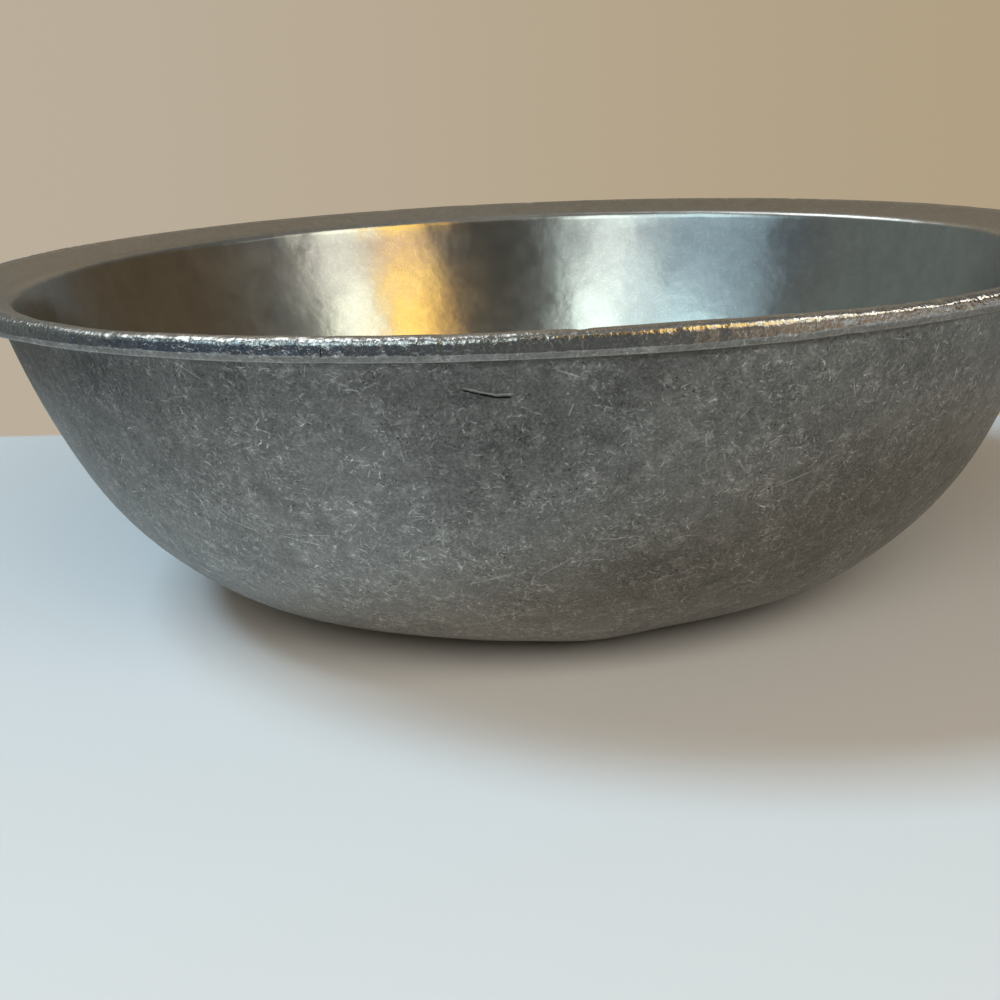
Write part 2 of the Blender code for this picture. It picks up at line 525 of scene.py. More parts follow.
def bowl_mesh(sizes, wear):
    """The casting's mesh: the smooth turned form, its unevenness and its dings.

    The rim's dip reaches down the wall, less by the fifth power of the height.
    """
    skin = Skin(sizes)
    still = np.zeros(len(skin.turn))
    smooth = skin.points(still, still)
    height = smooth[:, 2] / sizes.height
    length = skin.per_point(skin.length)
    on_rim = skin.per_point((skin.part == "rim").astype(float))
    outside = skin.per_point((skin.part == "outside").astype(float))
    above_foot = smooth_step(smooth[:, 2], *SWELL_START)

    swell = sum(share * soft_noise(smooth, size, seed) for size, share, seed in SWELL_NOISES)
    lift = wear.swell * above_foot * swell * (1.0 - 0.5 * on_rim)
    lift -= on_rim * wear.swell * 0.5
    size, rise, seed = RIM_NOISE
    lift += rise * on_rim * soft_noise(smooth, size, seed)
    below_neck = 1.0 - smooth_step(smooth[:, 2], *BULGE_END)
    clear_of_foot = smooth_step(smooth[:, 2], *BULGE_START)
    lift += bulge_lift(skin, smooth[:, 2]) * outside * below_neck * clear_of_foot
    lift -= rim_dings(skin, wear)

    lower_edge = smooth_step(length, *LOWER_EDGE)
    dip = rim_dip(skin, 1) * (1.0 - lower_edge) + rim_dip(skin, 2) * lower_edge
    points = skin.points(lift, -wear.rim_sag * dip * height ** 5)

    poles = np.column_stack((np.zeros(2), np.zeros(2), skin.poles[:, 1]))
    mesh = new_mesh(CAD_NODE, np.vstack((points, poles)).tolist(), skin.faces())
    mesh.shade_smooth()

    past_mouth = smooth_step(skin.length, skin.mouth + INSIDE_END[0], skin.mouth + INSIDE_END[1])
    add_values(mesh, "inside", skin.per_point(1.0 - past_mouth))
    add_values(mesh, "from_crown", length / MILLIMETRE)
    add_values(mesh, "battered", battered(skin))
    return mesh


def add_values(mesh, name, values):
    """Store one number for each vertex. The two poles take their neighbours' value."""
    values = np.concatenate((values, values[:1], values[-1:]))
    mesh.attributes.new(name, "FLOAT", "POINT").data.foreach_set("value", values.astype(np.float32))


class Nodes:
    """Short calls that add nodes to a tree and join them up."""

    def __init__(self, tree):
        self.tree = tree

    def add(self, kind, inputs=(), **settings):
        node = self.tree.nodes.new(kind)
        for name, value in settings.items():
            setattr(node, name, value)
        for name, value in dict(inputs).items():
            self.feed(node.inputs[name], value)
        return node

    def feed(self, socket, value):
        if isinstance(value, bpy.types.NodeSocket):
            self.tree.links.new(value, socket)
        else:
            socket.default_value = value

    def math(self, operation, *values, clamp=False):
        node = self.add("ShaderNodeMath", enumerate(values), operation=operation, use_clamp=clamp)
        return node.outputs[0]

    def total(self, first, *others):
        """The sum of several values."""
        for other in others:
            first = self.math("ADD", first, other)
        return first

    def times(self, first, second):
        return self.math("MULTIPLY", first, second)

    def scaled(self, value, factor, rest):
        """A value times a factor, plus the rest."""
        return self.math("MULTIPLY_ADD", value, factor, rest)

    def vector(self, operation, *values):
        node = self.add("ShaderNodeVectorMath", enumerate(values), operation=operation)
        return node.outputs["Value" if operation in ("DOT_PRODUCT", "LENGTH") else "Vector"]

    def stretched(self, vector, factor):
        """A vector or a colour times a number."""
        node = self.add("ShaderNodeVectorMath", {0: vector, "Scale": factor}, operation="SCALE")
        return node.outputs["Vector"]

    def step(self, value, low, high):
        """0 at low, 1 at high and a smooth curve between them."""
        ends = {"Value": value, "From Min": low, "From Max": high}
        return self.add("ShaderNodeMapRange", ends, interpolation_type="SMOOTHSTEP").outputs[0]

    def noise(self, place, size, detail=2.0, roughness=0.5):
        """Soft random values about 0.5 that change over the given size."""
        inputs = {"Vector": place, "Scale": 1.0 / size, "Detail": detail, "Roughness": roughness}
        return self.add("ShaderNodeTexNoise", inputs).outputs["Fac"]

    def swing(self, value, amount):
        """A value about 0.5, turned into one about 0 and scaled."""
        return self.scaled(value, amount, -0.5 * amount)

    def mix(self, share, first, second):
        """A colour that goes from first to second as share goes from 0 to 1."""
        return self.add("ShaderNodeMix", {0: share, 6: first, 7: second}, data_type="RGBA").outputs[2]

    def blend(self, share, first, second):
        """A number that goes from first to second as share goes from 0 to 1."""
        return self.add("ShaderNodeMix", {0: share, 2: first, 3: second}, data_type="FLOAT").outputs[0]

    def group(self, tree, **inputs):
        """A group's outputs. In the names of its inputs an underscore stands for a space."""
        inputs = {name.replace("_", " "): value for name, value in inputs.items()}
        return self.add("ShaderNodeGroup", inputs, node_tree=tree).outputs


def new_group(name, inputs, outputs=("Mask",)):
    """An empty shader group, short calls for its nodes, what it is given and what it puts out.

    An input is a vector where its default has three parts. All others are numbers.
    """
    tree = bpy.data.node_groups.new(name, "ShaderNodeTree")
    for label, default in inputs.items():
        kind = "NodeSocketVector" if isinstance(default, tuple) else "NodeSocketFloat"
        tree.interface.new_socket(label, in_out="INPUT", socket_type=kind).default_value = default
    for label in outputs:
        tree.interface.new_socket(label, in_out="OUTPUT", socket_type="NodeSocketFloat")
    nodes = Nodes(tree)
    return tree, nodes, nodes.add("NodeGroupInput").outputs, nodes.add("NodeGroupOutput").inputs


def new_material(name):
    """A material, short calls for its nodes, and its shader."""
    material = bpy.data.materials.new(name)
    material.use_nodes = True
    return material, Nodes(material.node_tree), material.node_tree.nodes["Principled BSDF"]


ORIGIN = (0.0, 0.0, 0.0)
UP = (0.0, 0.0, 1.0)
# The strokes' angles are counted from the direction on the surface that is square to this.
SLANT = (0.36, 0.19, 0.91)


def tangent_part(nodes, vector, normal):
    """What is left of a vector when its part along the normal is taken away."""
    along = nodes.vector("DOT_PRODUCT", vector, normal)
    return nodes.vector("SUBTRACT", vector, nodes.stretched(normal, along))


def wavered(nodes, place, cell, per_cell, fineness, detail, share):
    """The place, moved by soft noise by up to half a share of the cell along each axis."""
    inputs = {"Vector": place, "Scale": nodes.times(per_cell, fineness), "Detail": detail}
    noise = nodes.add("ShaderNodeTexNoise", inputs).outputs["Color"]
    move = nodes.vector("SUBTRACT", noise, (0.5, 0.5, 0.5))
    return nodes.vector("ADD", place, nodes.stretched(move, nodes.times(cell, share)))


def stroke_group():
    """Short curved strokes lying every way on the surface, one to a cell of a 3D cell pattern.

    A stroke runs through its cell's middle, in a direction turned by the cell's random
    number about the surface's normal. Other random numbers shorten and dim it. Place
    is the point on the surface, and Share is the share of cells with a stroke.
    """
    tree, nodes, given, result = new_group("Tumbled strokes", {
        "Place": ORIGIN, "Normal": UP, "Shift": ORIGIN, "Cell": 0.002, "Half length": 0.001,
        "Half width": 0.0002, "Curl": 0.25, "Share": 0.7,
    })
    per_cell = nodes.math("DIVIDE", 1.0, given["Cell"])
    place = nodes.vector("ADD", given["Place"], given["Shift"])
    place = wavered(nodes, place, given["Cell"], per_cell, 1.0, 1.0, 0.30)
    cells = nodes.add("ShaderNodeTexVoronoi", {"Vector": place, "Scale": per_cell}).outputs
    random = nodes.add("ShaderNodeSeparateColor", {"Color": cells["Color"]}).outputs

    normal = given["Normal"]
    across_axis = nodes.vector("NORMALIZE", nodes.vector("CROSS_PRODUCT", normal, SLANT))
    along_axis = nodes.vector("CROSS_PRODUCT", normal, across_axis)
    angle = nodes.times(random["Green"], 2.0 * math.pi)
    stroke = nodes.vector(
        "ADD",
        nodes.stretched(across_axis, nodes.math("COSINE", angle)),
        nodes.stretched(along_axis, nodes.math("SINE", angle)),
    )
    beside = nodes.vector("CROSS_PRODUCT", normal, stroke)
    offset = nodes.vector("SUBTRACT", place, cells["Position"])
    along = nodes.vector("DOT_PRODUCT", offset, stroke)
    across = nodes.vector("DOT_PRODUCT", offset, beside)
    bend = nodes.math("DIVIDE", nodes.times(along, along), given["Half length"])
    curl = nodes.times(nodes.math("SUBTRACT", random["Blue"], 0.5), given["Curl"])
    across = nodes.math("ABSOLUTE", nodes.scaled(bend, curl, across))
    along = nodes.math("ABSOLUTE", along)

    # A cell with a stroke has a first random number below Share. Divided by Share it
    # covers the whole range again, and sets the stroke's length.
    chosen = nodes.math("LESS_THAN", random["Red"], given["Share"])
    rank = nodes.math("DIVIDE", random["Red"], given["Share"])
    half_width = given["Half width"]
    half_length = nodes.times(given["Half length"], nodes.blend(rank, 1.0, 0.35))
    mask = nodes.times(
        nodes.step(across, half_width, nodes.times(half_width, 0.2)),
        nodes.step(along, half_length, nodes.times(half_length, 0.4)),
    )
    weight = nodes.scaled(nodes.math("POWER", random["Blue"], 2.0), 0.8, 0.2)
    nodes.feed(result["Mask"], nodes.times(mask, nodes.times(chosen, weight)))
    return tree


def mark_group():
    """One long mark: a stroke from one point of the surface to another, thinned towards its ends."""
    tree, nodes, given, result = new_group("Long mark", {
        "Place": ORIGIN, "Normal": UP, "From": ORIGIN, "To": ORIGIN, "Half width": 0.0002,
    })
    run, offset = (
        tangent_part(nodes, nodes.vector("SUBTRACT", given[end], given["From"]), given["Normal"])
        for end in ("To", "Place")
    )
    along = nodes.vector("DOT_PRODUCT", offset, run)
    share = nodes.math("DIVIDE", along, nodes.vector("DOT_PRODUCT", run, run), clamp=True)
    distance = nodes.vector("LENGTH", nodes.vector("SUBTRACT", offset, nodes.stretched(run, share)))
    from_middle = nodes.math("ABSOLUTE", nodes.math("SUBTRACT", share, 0.5))
    width = nodes.times(given["Half width"], nodes.step(from_middle, 0.56, 0.30))
    nodes.feed(result["Mask"], nodes.step(distance, width, nodes.times(width, 0.3)))
    return tree


def speck_group():
    """Small round specks, one to a cell of a 3D cell pattern, in the share of cells that is asked for.

    Sign is 1 for a pale speck and 0 for a dark one.
    """
    tree, nodes, given, result = new_group(
        "Specks", {"Place": ORIGIN, "Cell": 0.003, "Radius": 0.0003, "Share": 0.3}, ("Mask", "Sign")
    )
    per_cell = nodes.math("DIVIDE", 1.0, given["Cell"])
    cells = nodes.add("ShaderNodeTexVoronoi", {"Vector": given["Place"], "Scale": per_cell}).outputs
    random = nodes.add("ShaderNodeSeparateColor", {"Color": cells["Color"]}).outputs
    radius = nodes.times(given["Radius"], nodes.total(random["Green"], 0.5))
    mask = nodes.step(nodes.times(cells["Distance"], given["Cell"]), radius, nodes.times(radius, 0.3))
    chosen = nodes.math("LESS_THAN", random["Red"], given["Share"])
    nodes.feed(result["Mask"], nodes.times(mask, chosen))
    nodes.feed(result["Sign"], nodes.math("GREATER_THAN", random["Blue"], 0.55))
    return tree


def dish_group():
    """Shallow dishes that meet in creases, each about a cell wide.

    Height is in metres: the cell's width times its steepness times the square of the
    distance from the dish's middle, counted in cells. The cells' borders waver.
    """
    tree, nodes, given, result = new_group(
        "Knocked dishes", {"Place": ORIGIN, "Cell": 0.0015, "Steepness": 0.12}, ("Height",)
    )
    cell = given["Cell"]
    per_cell = nodes.math("DIVIDE", 1.0, cell)
    place = wavered(nodes, given["Place"], cell, per_cell, 1.6, 2.0, 1.0)
    cells = nodes.add("ShaderNodeTexVoronoi", {"Vector": place, "Scale": per_cell}).outputs
    square = nodes.math("POWER", cells["Distance"], 2.0)
    nodes.feed(result["Height"], nodes.times(square, nodes.times(cell, given["Steepness"])))
    return tree


def wall_outline():
    """The outside wall's radius by height, lowest first."""
    parts = dict(bowl_outline(bpy.context.scene.bowl_sizes))
    return parts["outside"][::-1]


def at_angle(degrees, radius, height):
    """Point at an angle from -Y towards +X, with its radius and height in millimetres."""
    turn = math.radians(degrees - 90.0)
    return tuple(MILLIMETRE * part for part in (radius * math.cos(turn), radius * math.sin(turn), height))


def on_wall(degrees, height):
    """Point of the outside wall at an angle from -Y towards +X and a height in millimetres."""
    outline = wall_outline() / MILLIMETRE
    return at_angle(degrees, np.interp(height, outline[:, 1], outline[:, 0]), height)


# Long pale scratches and pale dots on the wall: where each starts and ends, as degrees
# from -Y towards +X and height in millimetres, and half its width in millimetres.
PALE_SCRATCHES = (
    ((-34.3, 52.3), (-31.7, 45.9), 0.20),
    ((-31.7, 45.9), (-28.5, 43.5), 0.20),
    ((-26.1, 43.4), (-20.8, 41.4), 0.20),
    ((-25.9, 43.7), (-19.5, 44.6), 0.12),
    ((-7.3, 32.3), (-2.4, 35.5), 0.15),
    ((-0.1, 34.4), (3.7, 39.7), 0.15),
    ((-16.4, 63.8), (-14.3, 63.2), 0.18),
    ((22.0, 51.8), (26.4, 54.7), 0.22),
    ((5.5, 43.9), (7.7, 43.5), 0.22),
    ((36.2, 57.3), (38.7, 60.0), 0.17),
    ((-5.25, 79.15), (-3.9, 78.30), 0.22),
    ((-4.1, 78.30), (-2.6, 77.50), 0.24),
    ((-2.8, 77.50), (-1.2, 77.65), 0.28),
    ((2.0, 82.4), (3.9, 80.5), 0.26),
    ((-30.6, 84.1), (-27.7, 79.5), 0.17),
    ((3.4, 75.3), (2.9, 72.3), 0.17),
    ((2.80, 77.0), (3.00, 77.3), 0.38),
    ((32.15, 67.5), (32.35, 67.7), 0.40),
)
# The gouge under the front of the rim, in three straight runs.
GOUGE = (
    ((-5.30, 78.65), (-3.9, 77.75), 0.22),
    ((-4.1, 77.85), (-2.5, 76.90), 0.27),
    ((-2.8, 76.95), (-1.4, 77.00), 0.27),
)
# Smooth dark spots where the wall took fewer strokes: place and radius in millimetres.
DARK_SPOTS = (((5.5, 68.1), 4.2), ((-35.5, 35.5), 4.0), ((-25.3, 55.0), 4.5))
# Broad soft areas of painted reflection and shade on the wall: paler low down, where the
# wall reflects the bright floor, and darker high up under the rim. Each has a place, a
# radius in millimetres and a tone.
PAINTED_LIGHT_AREAS = (
    ((-18.0, 14.0), 80.0, 0.36), ((-2.0, 70.0), 30.0, -0.13),
    ((-42.0, 72.0), 34.0, -0.10), ((20.0, 60.0), 45.0, 0.08),
)
# Marks on the rim's edge, as degrees, radius and height: a nick across it, and pale
# chips beside the front of the crown.
NICKS = (((-14.3, 152.2, 89.3), (-14.3, 152.5, 86.5), 0.24),)
CHIPS = (
    ((2.85, 151.6, 90.75), (3.10, 151.7, 90.65), 0.42),
    ((2.60, 152.1, 90.15), (2.80, 152.2, 90.00), 0.34),
)

# Lengths along the outline from the crown, in millimetres: where the worn metal of the
# rim starts and ends, where the chamfer with its painted reflection of the pale floor
# starts and ends, where its lower corner with a painted highlight starts and ends, and
# where the painted shade under the rim ends.
WORN_START = (-2.6, -0.6)
WORN_END = (4.6, 5.8)
CHAMFER_START = (4.8, 6.2)
CORNER_START = (6.4, 6.8)
CORNER_END = (7.0, 7.5)
SHADE_END = (18.2, 19.4)

# What the painted reflection on the chamfer, the painted highlight on its lower corner and
# the pale scratches add to the wall's tone, and what share of it the painted shade under
# the rim and the gouge take away.
CHAMFER_REFLECTION_TONE = 0.22
CORNER_HIGHLIGHT_TONE = 0.35
SCRATCH_TONE = 0.85
SHADE_LOSS = 0.30
GOUGE_LOSS = 0.88
# What a chip adds to the worn metal's tone, and what share of it a nick takes away.
CHIP_TONE = 0.90
NICK_LOSS = 0.80

# Heights of the metal's relief, in metres.
WALL_RELIEF = 0.00010
WALL_GRAIN = 0.00003
GOUGE_DEPTH = 0.00020
INSIDE_WAVES = 0.00015
INSIDE_CLOUDS = 0.000045
INSIDE_GRAIN = 0.0000015
RIM_CRUMBS = 0.00006
LIP_GRAIN = 0.000008
WORN_GRAIN = 0.000018
NICK_DEPTH = 0.00025


def any_of(nodes, masks):
    """The greatest of several masks."""
    total = masks[0]
    for mask in masks[1:]:
        total = nodes.math("MAXIMUM", total, mask)
    return total


def long_marks(nodes, group, place, normal, marks, find=on_wall):
    """All of one kind of long marks as one mask."""
    masks = []
    for first, last, half_width in marks:
        masks.append(nodes.group(
            group, Place=place, Normal=normal, From=find(*first), To=find(*last),
            Half_width=half_width * MILLIMETRE,
        )["Mask"])
    return any_of(nodes, masks)


def near(nodes, place, middle, radius, core):
    """1 round a point of the wall, then falling to 0 at the radius, which is in millimetres."""
    distance = nodes.vector("LENGTH", nodes.vector("SUBTRACT", place, on_wall(*middle)))
    return nodes.step(distance, radius * MILLIMETRE, core * radius * MILLIMETRE)


def dark_spots(nodes, place):
    """Round soft spots as one mask."""
    return any_of(nodes, [near(nodes, place, middle, radius, 0.3) for middle, radius in DARK_SPOTS])


def painted_light_areas(nodes, place):
    """The tone that the broad areas of painted reflection and shade add."""
    total = 0.0
    for middle, radius, tone in PAINTED_LIGHT_AREAS:
        total = nodes.scaled(near(nodes, place, middle, radius, 0.1), tone, total)
    return total


# Layers of strokes on the outside: cell, half length, half width, curl, share, and how
# much each adds to the tone.
PALE_STROKES = (
    (0.0012, 0.00062, 0.00016, 0.5, 0.90, 0.75),
    (0.0018, 0.00095, 0.00020, 0.7, 0.85, 0.95),
    (0.0028, 0.00150, 0.00022, 0.8, 0.70, 1.05),
    (0.0045, 0.00240, 0.00021, 0.6, 0.60, 1.00),
    (0.0080, 0.00390, 0.00018, 0.4, 0.50, 0.95),
)
DARK_STROKES = ((0.0015, 0.00065, 0.00016, 0.6, 0.70, -0.60),)
PALE_SHIFT = Vector((0.0131, 0.0073, 0.0217))
DARK_SHIFT = Vector((0.0310, 0.0170, 0.0050))


def stroke_layers(nodes, strokes, place, normal, layers, shift):
    """The tone that several layers of strokes add to the metal."""
    total = 0.0
    for index, (cell, half_length, half_width, curl, share, tone) in enumerate(layers):
        mask = nodes.group(
            strokes, Place=place, Normal=normal, Shift=shift * (index + 1), Cell=cell,
            Half_length=half_length, Half_width=half_width, Curl=curl, Share=share,
        )["Mask"]
        total = nodes.scaled(mask, tone, total)
    return total


def cast_metal(finish):
    """The bowl's metal: tumbled outside, burnished inside and worn along the rim."""
    material, nodes, shader = new_material("cast_aluminium_finish")
    shader.inputs["Metallic"].default_value = 1.0
    place = nodes.add("ShaderNodeTexCoord").outputs["Object"]
    normal = nodes.add("ShaderNodeNewGeometry").outputs["Normal"]
    in_bowl, from_crown, battered_here = (
        nodes.add("ShaderNodeAttribute", attribute_name=name).outputs["Fac"]
        for name in ("inside", "from_crown", "battered")
    )
    marks = mark_group()
    group = stroke_group()
    strokes = stroke_layers(nodes, group, place, normal, PALE_STROKES, PALE_SHIFT)
    dark = stroke_layers(nodes, group, place, normal, DARK_STROKES, DARK_SHIFT)
    grain = nodes.noise(place, 0.0006, 2.0, 0.6)
    ragged = nodes.total(from_crown, nodes.swing(nodes.noise(place, 0.0012, 3.0, 0.65), 1.2))
    on_rim = nodes.step(ragged, WORN_END[1], WORN_END[0])

    wall = wall_finish(nodes, finish, place, normal, marks, strokes, dark, grain, from_crown, ragged)
    inside = inside_finish(nodes, finish, place, strokes, grain)
    rim = rim_finish(
        nodes, finish, place, normal, marks, strokes, grain, from_crown, ragged, battered_here
    )
    colour = nodes.mix(in_bowl, nodes.mix(on_rim, wall[0], rim[0]), inside[0])
    roughness = nodes.blend(in_bowl, nodes.blend(on_rim, wall[1], rim[1]), inside[1])
    height = nodes.blend(in_bowl, nodes.blend(on_rim, wall[2], rim[2]), inside[2])
    bump = nodes.add("ShaderNodeBump", {"Height": height, "Strength": 1.0, "Distance": 1.0})
    for name, value in (("Base Color", colour), ("Roughness", roughness), ("Normal", bump.outputs[0])):
        nodes.feed(shader.inputs[name], value)
    return material


def wall_finish(nodes, finish, place, normal, marks, strokes, dark, grain, from_crown, ragged):
    """Tumbled grey: pale and dark strokes on a dull ground, soft clouds, specks and the long marks.

    The colour is the wall's own colour times a tone, which each kind of mark raises
    or lowers, and which broad areas of painted reflection and shade raise or lower too.
    The chamfer under the rim's edge is paler, a painted reflection of the pale floor. Its
    lower corner is paler still, a painted highlight, and the wall close under the rim is
    darker, painted shade.
    """
    cloud = nodes.noise(place, 0.026, 2.0, 0.5)
    mottle = nodes.noise(place, 0.0050, 3.0, 0.6)
    patch = nodes.step(nodes.noise(place, 0.0085, 3.0, 0.65), 0.36, 0.64)
    blotch = nodes.step(nodes.noise(place, 0.0021, 3.0, 0.6), 0.46, 0.76)
    flakes = nodes.step(nodes.noise(place, 0.0008, 2.0, 0.6), 0.36, 0.62)
    spots = dark_spots(nodes, place)
    # Painted reflection and shade: the lower wall is paler and the upper wall darker.
    areas = painted_light_areas(nodes, place)
    busy = nodes.math("SUBTRACT", nodes.blend(patch, 0.34, 1.30), nodes.times(spots, 0.5))
    busy = nodes.times(busy, nodes.scaled(areas, 1.3, 0.97))
    specks = nodes.group(speck_group(), Place=place, Cell=0.0042, Radius=0.00030, Share=0.42)
    speck_tone = nodes.times(specks["Mask"], nodes.blend(specks["Sign"], -0.45, 0.75))
    scratch = long_marks(nodes, marks, place, normal, PALE_SCRATCHES)
    gouge = long_marks(nodes, marks, place, normal, GOUGE)

    broken = nodes.times(nodes.total(strokes, dark), nodes.blend(flakes, 0.45, 1.25))
    tone = nodes.total(
        nodes.times(nodes.scaled(blotch, 0.50, broken), busy),
        nodes.swing(grain, 0.95), nodes.swing(mottle, 0.70), nodes.swing(cloud, 0.50),
        speck_tone, nodes.times(spots, -0.12), areas, 0.74,
    )
    # The chamfer's paleness is a painted reflection of the pale floor, and the pale line on its lower
    # corner is a painted highlight. From that corner down to the neck the wall takes painted shade.
    below = nodes.step(from_crown, CORNER_END[1], CORNER_END[0])
    chamfer = nodes.times(nodes.step(ragged, *CHAMFER_START), below)
    corner = nodes.times(nodes.step(from_crown, *CORNER_START), below)
    above_neck = nodes.step(from_crown, SHADE_END[1], SHADE_END[0])
    shade = nodes.math("SUBTRACT", above_neck, nodes.math("MAXIMUM", below, corner))
    tone = nodes.scaled(corner, CORNER_HIGHLIGHT_TONE, nodes.scaled(chamfer, CHAMFER_REFLECTION_TONE, tone))
    tone = nodes.times(tone, nodes.scaled(shade, -SHADE_LOSS, 1.0))
    tone = nodes.scaled(scratch, SCRATCH_TONE, tone)
    tone = nodes.times(tone, nodes.scaled(gouge, -GOUGE_LOSS, 1.0))
    colour = nodes.stretched(tuple(finish.wall_colour), tone)
    roughness = nodes.scaled(strokes, -0.10, finish.wall_roughness)
    relief = nodes.noise(place, 0.0013, 2.0, 0.55)
    height = nodes.scaled(grain, WALL_GRAIN, nodes.times(relief, WALL_RELIEF))
    height = nodes.scaled(gouge, -GOUGE_DEPTH, height)
    return colour, roughness, height


def inside_finish(nodes, finish, place, strokes, grain):
    """Burnished metal: a soft cloudy shine with faint hairlines."""
    broad = nodes.noise(place, 0.012, 2.0, 0.5)
    cloud = nodes.noise(place, 0.0042, 2.0, 0.5)
    tone = nodes.total(
        nodes.swing(broad, 0.25), nodes.swing(cloud, 0.20), nodes.swing(grain, 0.12),
        nodes.times(strokes, 0.16), 0.97,
    )
    colour = nodes.stretched(tuple(finish.inside_colour), tone)
    roughness = nodes.total(nodes.swing(broad, 0.10), finish.inside_roughness)
    height = nodes.scaled(cloud, INSIDE_CLOUDS, nodes.times(broad, INSIDE_WAVES))
    height = nodes.scaled(grain, INSIDE_GRAIN, height)
    return colour, roughness, height


def rim_finish(nodes, finish, place, normal, marks, strokes, grain, from_crown, ragged, battered_here):
    """Satin lip, and bright knocked metal along the crown and the edge.

    The knocks are deepest on the upright edge and along the battered stretches, and
    faint on the narrow top.
    """
    dishes = dish_group()
    large = nodes.group(dishes, Place=place, Cell=0.0028, Steepness=0.065)["Height"]
    small = nodes.group(dishes, Place=place, Cell=0.0011, Steepness=0.135)["Height"]
    crumbs = nodes.noise(place, 0.0007, 2.0, 0.6)
    tone_noise = nodes.noise(place, 0.0040, 3.0, 0.6)
    worn = nodes.step(ragged, *WORN_START)
    lip_tone, worn_tone = (
        nodes.total(
            nodes.swing(tone_noise, broad), nodes.swing(grain, fine), nodes.times(strokes, pale), level
        )
        for broad, fine, pale, level in ((0.35, 0.30, 0.35, 0.93), (0.60, 0.60, 0.60, 0.86))
    )
    nick = long_marks(nodes, marks, place, normal, NICKS, at_angle)
    chip = long_marks(nodes, marks, place, normal, CHIPS, at_angle)
    worn_tone = nodes.scaled(chip, CHIP_TONE, worn_tone)
    worn_tone = nodes.times(worn_tone, nodes.scaled(nick, -NICK_LOSS, 1.0))
    lip = nodes.stretched(tuple(finish.lip_colour), lip_tone)
    edge = nodes.stretched(tuple(finish.worn_colour), worn_tone)
    colour = nodes.mix(worn, lip, edge)
    roughness = nodes.blend(worn, finish.lip_roughness, finish.worn_roughness)

    knocks = nodes.scaled(crumbs, RIM_CRUMBS, nodes.total(large, small))
    off_top = nodes.blend(nodes.step(from_crown, 0.5, 2.4), 0.30, 1.0)
    knocks = nodes.times(knocks, nodes.times(off_top, worn))
    knocks = nodes.times(knocks, nodes.blend(battered_here, 0.40, 1.0))
    fine = nodes.times(grain, nodes.blend(worn, LIP_GRAIN, WORN_GRAIN))
    height = nodes.scaled(nick, -NICK_DEPTH, nodes.total(knocks, fine))
    return colour, roughness, height


class BOWL_OT_casting(bpy.types.Operator):
    """Make the casting and put it in place of its plain solid."""

    bl_idname = "bowl.casting"
    bl_label = "Bowl casting"

    def execute(self, context):
        scene = context.scene
        mesh = bowl_mesh(scene.bowl_sizes, scene.bowl_wear)
        casting = bpy.data.objects.new("bowl_casting", mesh)
        scene.collection.objects.link(casting)
        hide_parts(CAD_NODE)
        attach(casting, BODY)
        return {"FINISHED"}


class BOWL_OT_finish(bpy.types.Operator):
    """Give the casting its tumbled, burnished and worn metal."""

    bl_idname = "bowl.finish"
    bl_label = "Metal finish"

    def execute(self, context):
        casting = bpy.data.objects.get("bowl_casting")
        if casting is None:
            raise RuntimeError("make the casting before its finish")
        metal = cast_metal(context.scene.bowl_finish)
        casting.data.materials.append(metal)
        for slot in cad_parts[CAD_NODE].material_slots:
            slot.material = metal
        return {"FINISHED"}


# Where the camera stands and how it is turned: yaw from +Y, pitch down, and roll.
CAMERA_PLACE = (0.0003, -0.4015, 0.1322)
CAMERA_YAW = -0.0264
CAMERA_PITCH = 0.2790
CAMERA_ROLL = -0.0447
CAMERA_LENS = 51.24


def add_camera(scene):
    """Camera at the photograph's viewing angle."""
    forward = Vector((
        math.sin(CAMERA_YAW) * math.cos(CAMERA_PITCH),
        math.cos(CAMERA_YAW) * math.cos(CAMERA_PITCH),
        -math.sin(CAMERA_PITCH),
    ))
    level = Vector((math.cos(CAMERA_YAW), -math.sin(CAMERA_YAW), 0.0))
    upright = level.cross(forward)
    right = level * math.cos(CAMERA_ROLL) + upright * math.sin(CAMERA_ROLL)
    up = upright * math.cos(CAMERA_ROLL) - level * math.sin(CAMERA_ROLL)
    turned = Matrix((right, up, -forward)).transposed().to_4x4()
    camera = bpy.data.objects.new("camera", bpy.data.cameras.new("camera"))
    camera.data.lens = CAMERA_LENS
    camera.data.clip_start = 0.01
    camera.matrix_world = Matrix.Translation(CAMERA_PLACE) @ turned
    scene.collection.objects.link(camera)
    scene.camera = camera


def direction(azimuth, elevation):
    """Unit vector at an azimuth from -Y towards +X and an elevation, both in degrees."""
    turn = math.radians(azimuth)
    rise = math.radians(elevation)
    return Vector((math.sin(turn) * math.cos(rise), -math.cos(turn) * math.cos(rise), math.sin(rise)))


# Lamps: the point that each one faces, the direction from there to it as azimuth and
# elevation, its distance, the width and height in degrees that it fills, its colour,
# its brightness, and the half angle in degrees that its grid lets light out over.
RIM_LAMPS = {
    "rim_left": (
        (-0.050, -0.142, 0.090), (-146.0, 52.0), 0.60, (50.0, 30.0), (0.90, 0.97, 1.00), 5.0, 21.0,
    ),
    "rim_golden": (
        (0.060, -0.138, 0.090), (94.0, 47.0), 0.55, (12.0, 24.0), (1.00, 0.74, 0.44), 5.0, 16.0,
    ),
    "rim_right": (
        (0.085, -0.125, 0.090), (104.0, 46.0), 0.55, (26.0, 28.0), (1.00, 0.97, 0.94), 6.0, 16.0,
    ),
}
FLOOR_LAMPS = {
    "window": (ORIGIN, (-78.0, 55.0), 1.80, (16.0, 16.0), (0.55, 0.80, 1.00), 26.0, 90.0),
    "room_light": (ORIGIN, (12.0, 35.0), 1.30, (64.0, 28.0), (1.00, 0.92, 0.82), 3.4, 90.0),
}


def grid_share(half_angle):
    """Share of a bare lamp's power that gives the same brightness straight ahead through a grid.

    It is the tangent of the half angle less the angle, over the tangent, and 1 with no grid.
    """
    if half_angle >= 90.0:
        return 1.0
    angle = math.radians(half_angle)
    return 1.0 - angle / math.tan(angle)


